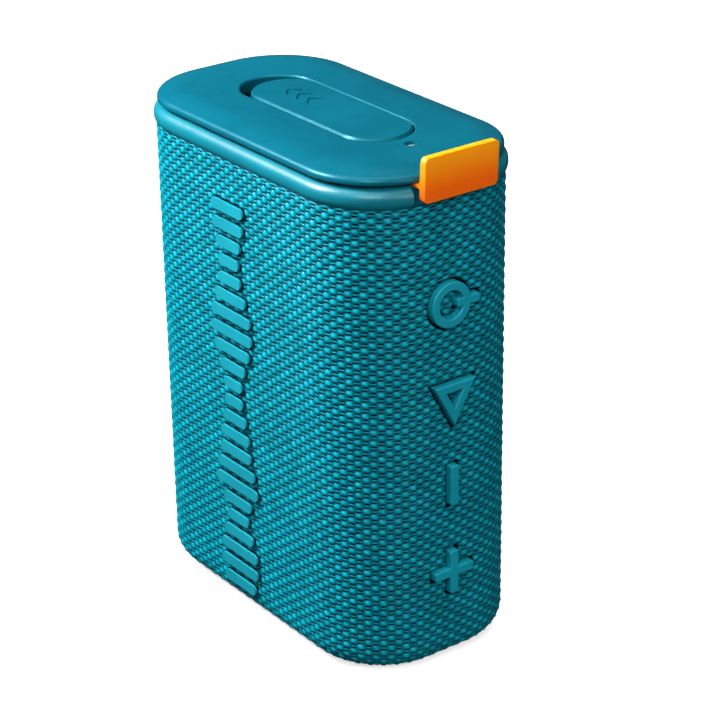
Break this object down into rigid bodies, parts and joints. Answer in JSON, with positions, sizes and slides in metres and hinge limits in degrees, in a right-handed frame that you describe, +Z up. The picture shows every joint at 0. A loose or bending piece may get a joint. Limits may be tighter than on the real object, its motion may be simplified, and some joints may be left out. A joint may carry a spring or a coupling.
{
  "type": "portable bluetooth speaker",
  "caption": "Upright pocket-size wireless speaker in a woven sleeve, with raised side buttons, a hinged port flap on the lid and a soft pull tab.",
  "frame": {"origin": "centre of the footprint, on the surface that the speaker stands on", "axes": "+Z up, -Y out of the wide front face with the level bars, +X out of the narrow face with the buttons"},
  "size_m": [0.0927, 0.0498, 0.1235],
  "materials": {
    "woven_fabric": "two-tone woven polyester",
    "cabinet_plastic": "black moulded plastic",
    "teal_rubber": "satin teal rubber",
    "teal_plastic": "satin teal moulded plastic",
    "cyan_print": "raised light cyan rubber",
    "orange_silicone": "translucent orange silicone",
    "black_rubber": "black rubber",
    "foam": "black foam",
    "steel": "plated steel",
    "punched_sheet": "black painted punched steel",
    "paper_cone": "coated paper",
    "magnet_ceramic": "sintered ferrite",
    "copper_wire": "enamelled copper winding",
    "circuit_board": "green solder mask",
    "chip_black": "black epoxy",
    "capacitor_can": "aluminium can",
    "cell_wrap": "blue heat-shrink",
    "lead_jacket": "red silicone jacket",
    "ribbon_film": "amber film",
    "clear_pipe": "clear light pipe"
  },
  "bodies": {
    "speaker": {"cabinet": "cabinet_plastic", "fabric_sleeve": "woven_fabric", "base_plate": "cabinet_plastic", "base_screws": "steel", "base_foot": "black_rubber", "collar": "teal_rubber", "top_deck": "cabinet_plastic", "lid": "teal_plastic", "lid_gasket": "foam", "deck_screws": "steel", "lid_screws": "steel", "flap_hinge_pin": "steel", "tab_root": "orange_silicone", "button_guide": "cabinet_plastic", "switch_board": "circuit_board", "tact_switches": "steel", "switch_board_screws": "steel", "front_grille": "punched_sheet", "rear_grille": "punched_sheet", "driver_gasket": "foam", "driver_frame": "punched_sheet", "speaker_screws": "steel", "driver_surround": "black_rubber", "driver_spider": "paper_cone", "driver_top_plate": "steel", "driver_magnet": "magnet_ceramic", "driver_yoke": "steel", "radiator_gasket": "foam", "radiator_frame": "cabinet_plastic", "radiator_surround": "black_rubber", "battery_cell": "cell_wrap", "battery_cradle": "cabinet_plastic", "battery_strap": "black_rubber", "main_board": "circuit_board", "board_screws": "steel", "board_chips": "chip_black", "capacitors": "capacitor_can", "port_board": "circuit_board", "usb_socket": "steel", "aux_jack": "chip_black", "light_pipe": "clear_pipe", "mic_boot": "black_rubber", "battery_lead": "lead_jacket", "speaker_lead": "lead_jacket", "switch_ribbon": "ribbon_film", "level_bars": "cyan_print"},
    "flap": {"flap": "teal_plastic", "flap_seal": "black_rubber"},
    "tab": {"pull_tab": "orange_silicone"},
    "power": {"power_button": "teal_rubber", "power_fabric_inset": "woven_fabric"},
    "play": {"play_button": "teal_rubber", "play_fabric_inset": "woven_fabric"},
    "volume_down": {"volume_down_button": "teal_rubber"},
    "volume_up": {"volume_up_button": "teal_rubber"},
    "cone": {"driver_cone": "paper_cone", "dust_cap": "paper_cone", "voice_coil": "copper_wire"},
    "radiator": {"radiator_plate": "cabinet_plastic", "radiator_weight": "steel"}
  },
  "joints": [
    {"name": "flap_hinge", "type": "hinge", "parent": "speaker", "child": "flap", "pos_m": [0.0195, 0, 0.1192], "axis": [0, 1, 0], "range_deg": [0, 95]},
    {"name": "tab_flex", "type": "hinge", "parent": "speaker", "child": "tab", "pos_m": [0.0432, 0.0002, 0.1168], "axis": [0, 1, 0], "range_deg": [0, 30], "stiffness_Nm_per_rad": 0.01},
    {"name": "power_press", "type": "slide", "parent": "speaker", "child": "power", "axis": [-1, 0, 0], "range_m": [0, 0.0006], "stiffness_N_per_m": 400},
    {"name": "play_press", "type": "slide", "parent": "speaker", "child": "play", "axis": [-1, 0, 0], "range_m": [0, 0.0006], "stiffness_N_per_m": 400},
    {"name": "volume_down_press", "type": "slide", "parent": "speaker", "child": "volume_down", "axis": [-1, 0, 0], "range_m": [0, 0.0006], "stiffness_N_per_m": 400},
    {"name": "volume_up_press", "type": "slide", "parent": "speaker", "child": "volume_up", "axis": [-1, 0, 0], "range_m": [0, 0.0006], "stiffness_N_per_m": 400},
    {"name": "cone_stroke", "type": "slide", "parent": "speaker", "child": "cone", "axis": [0, -1, 0], "range_m": [-0.001, 0.001], "stiffness_N_per_m": 2000},
    {"name": "radiator_stroke", "type": "slide", "parent": "speaker", "child": "radiator", "axis": [0, 1, 0], "range_m": [-0.001, 0.001], "stiffness_N_per_m": 1500}
  ]
}
